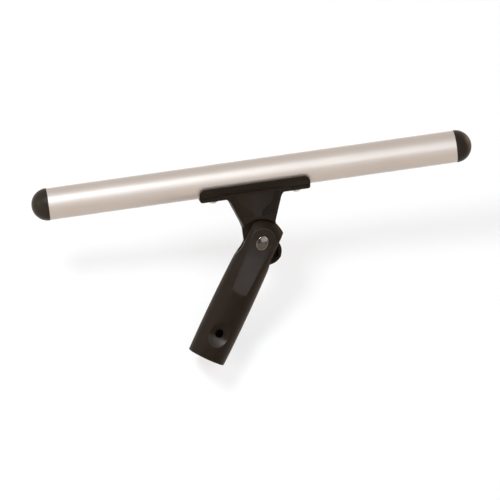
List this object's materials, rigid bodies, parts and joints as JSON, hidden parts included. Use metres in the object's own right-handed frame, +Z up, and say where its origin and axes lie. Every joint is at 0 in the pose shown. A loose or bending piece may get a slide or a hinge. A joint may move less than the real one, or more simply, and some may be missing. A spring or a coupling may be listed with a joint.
{
  "type": "window scrubber swivel t-bar",
  "caption": "Round aluminium bar with domed end caps on a moulded bracket that swivels in a forked pole-socket handle and is clamped by a thumb lever.",
  "frame": {"origin": "centre of the pole socket's mouth, where a pole enters the handle", "axes": "+X along the bar, +Z up from the pivot to the bar, +Y to the back, where the thumb lever is; the handle leans 33 degrees, with the pivot towards +X"},
  "size_m": [0.353, 0.04, 0.16],
  "materials": {
    "bar_aluminium": "satin, fine turned grain",
    "cap_plastic": "smooth black moulded plastic",
    "black_plastic": "warm black, fine moulded grain",
    "bolt_chrome": "polished",
    "rivet_aluminium": "plain",
    "steel": "zinc plated",
    "bush_brass": "turned",
    "disc_nylon": "natural nylon"
  },
  "bodies": {
    "handle": {"handle": "black_plastic", "pivot_bolt": "bolt_chrome", "friction_disc_front": "disc_nylon", "friction_disc_rear": "disc_nylon"},
    "bar": {"bar_tube": "bar_aluminium", "end_cap_right": "cap_plastic", "end_cap_left": "cap_plastic", "bracket": "black_plastic", "pivot_bush": "bush_brass", "saddle_rivets": "rivet_aluminium", "rivet_mandrels": "steel"},
    "washers": {"flat_washer": "steel", "spring_washer": "steel"},
    "lever": {"thumb_lever": "black_plastic", "lever_insert": "bush_brass"}
  },
  "joints": [
    {"name": "bar_swivel", "type": "hinge", "parent": "handle", "child": "bar", "pos_m": [0.05555, 0, 0.08554], "axis": [0, 1, 0], "range_deg": [-57, 123]},
    {"name": "lever_travel", "type": "slide", "parent": "handle", "child": "washers", "axis": [0, 1, 0], "range_m": [0, 0.0015]},
    {"name": "lever_turn", "type": "hinge", "parent": "washers", "child": "lever", "pos_m": [0.05555, 0, 0.08554], "axis": [0, 1, 0], "range_deg": [0, 540]}
  ],
  "couplings": [
    {"joint": "lever_turn", "follows": "lever_travel", "rad_per_m": 6283}
  ]
}
